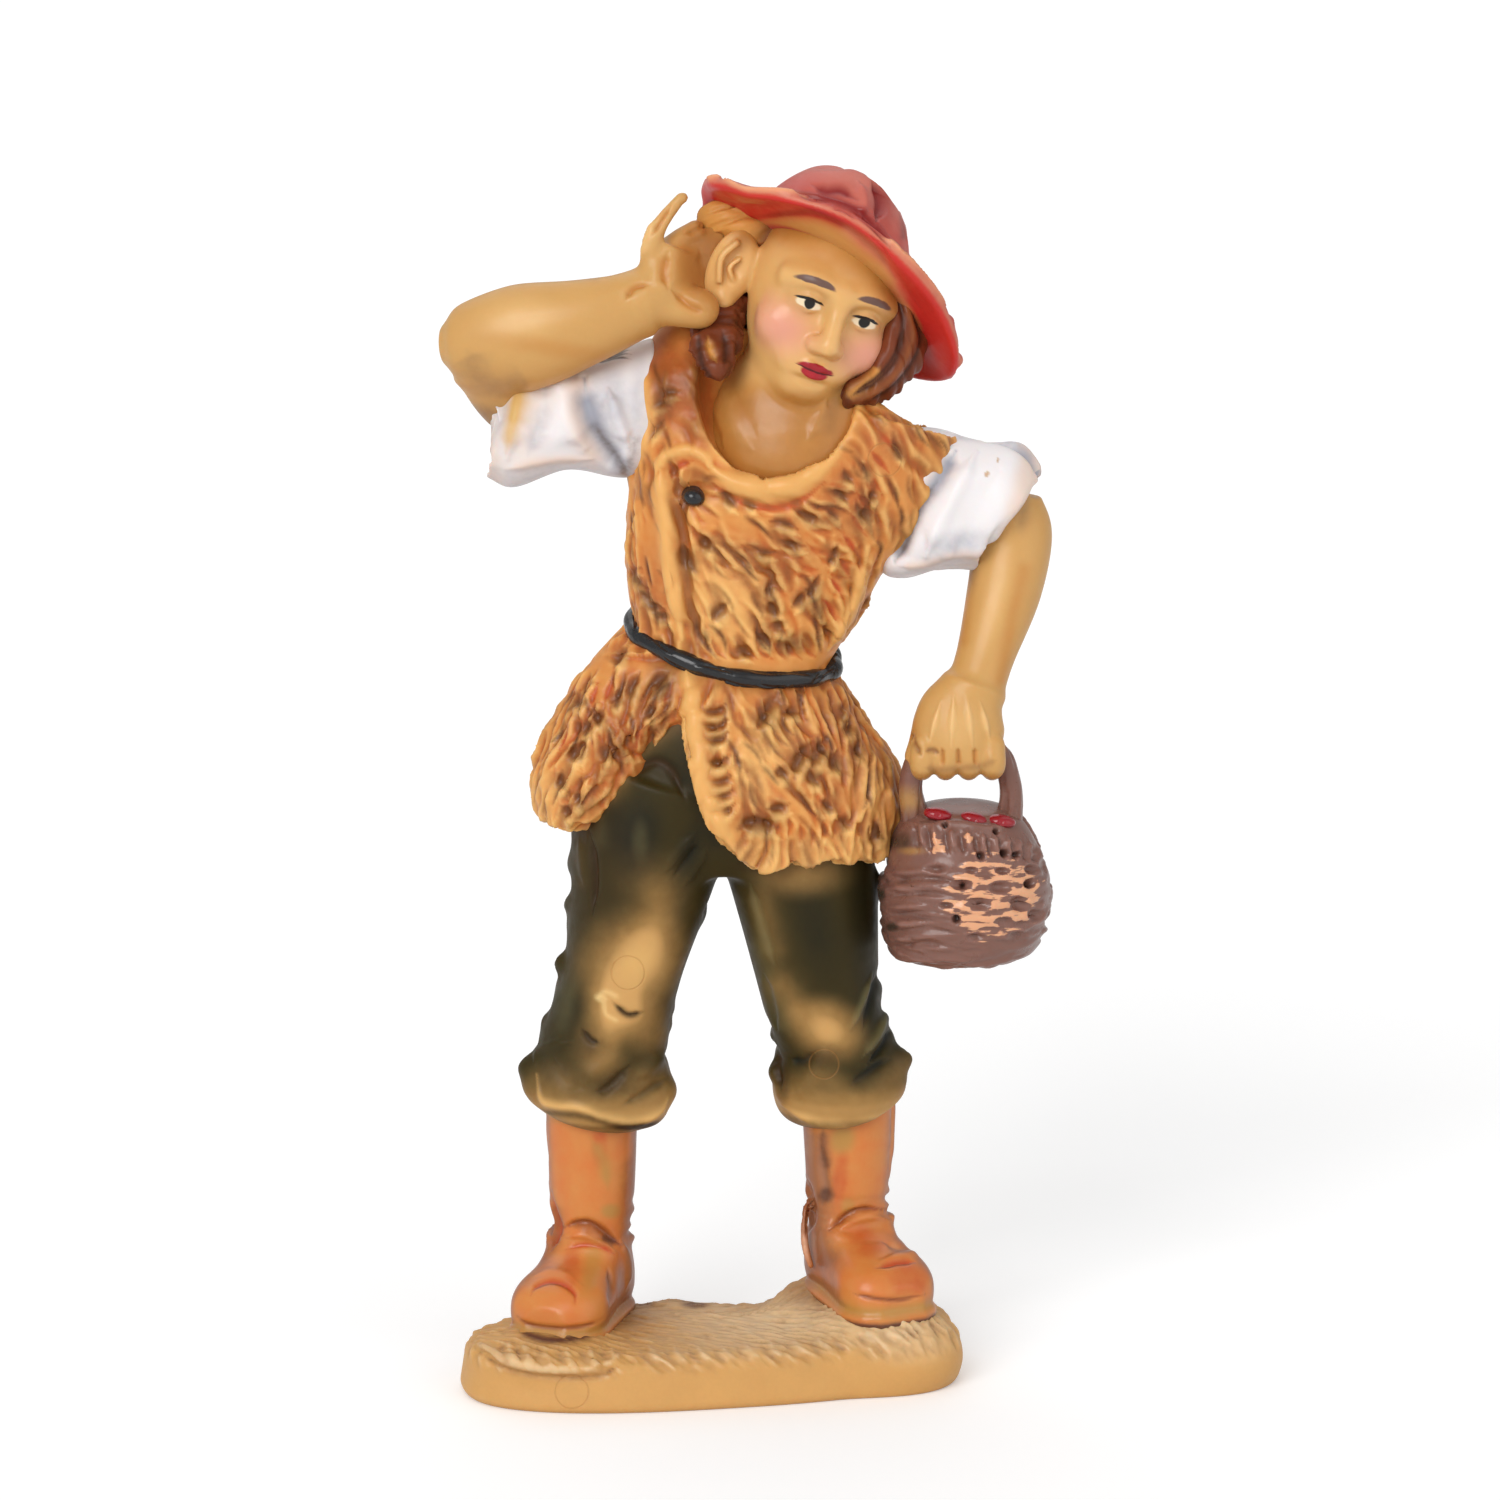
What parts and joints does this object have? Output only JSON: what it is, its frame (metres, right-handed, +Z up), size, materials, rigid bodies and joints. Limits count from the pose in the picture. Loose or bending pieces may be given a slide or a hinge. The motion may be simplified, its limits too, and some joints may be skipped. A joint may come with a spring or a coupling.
{
  "type": "nativity shepherd figurine",
  "caption": "Moulded plastic nativity shepherd on a ground plate, fur vest and felt hat, one hand cupped at the ear, the other holding a berry basket.",
  "frame": {"origin": "centre of the ground plate's flat underside", "axes": "+Z up, -Y the way the figure faces, +X towards its left hand with the basket"},
  "size_m": [0.0544, 0.0251, 0.1097],
  "materials": {
    "ground": "satin, brown wash",
    "boot_leather_paint": "semi-gloss orange over tan",
    "trouser_paint": "airbrushed grey-green over tan",
    "fur_paint": "tan with orange and brown wash",
    "black_gloss": "gloss",
    "shirt_paint": "satin white with grey shading",
    "skin": "semi-gloss, hand-painted features",
    "hair_paint": "semi-gloss",
    "hat_paint": "semi-gloss",
    "wicker_paint": "gloss with dry-brushed highlights",
    "berry_paint": "gloss"
  },
  "bodies": {
    "root": {"ground_plate": "ground", "right_boot": "boot_leather_paint", "left_boot": "boot_leather_paint", "trousers": "trouser_paint", "fur_vest": "fur_paint", "belt_cord": "black_gloss", "vest_button": "black_gloss", "right_sleeve": "shirt_paint", "left_sleeve": "shirt_paint", "right_arm": "skin", "left_arm": "skin", "head": "skin", "hair": "hair_paint", "hat": "hat_paint", "basket": "wicker_paint", "basket_handle": "wicker_paint", "berry_1": "berry_paint", "berry_2": "berry_paint", "berry_3": "berry_paint"}
  },
  "joints": []
}
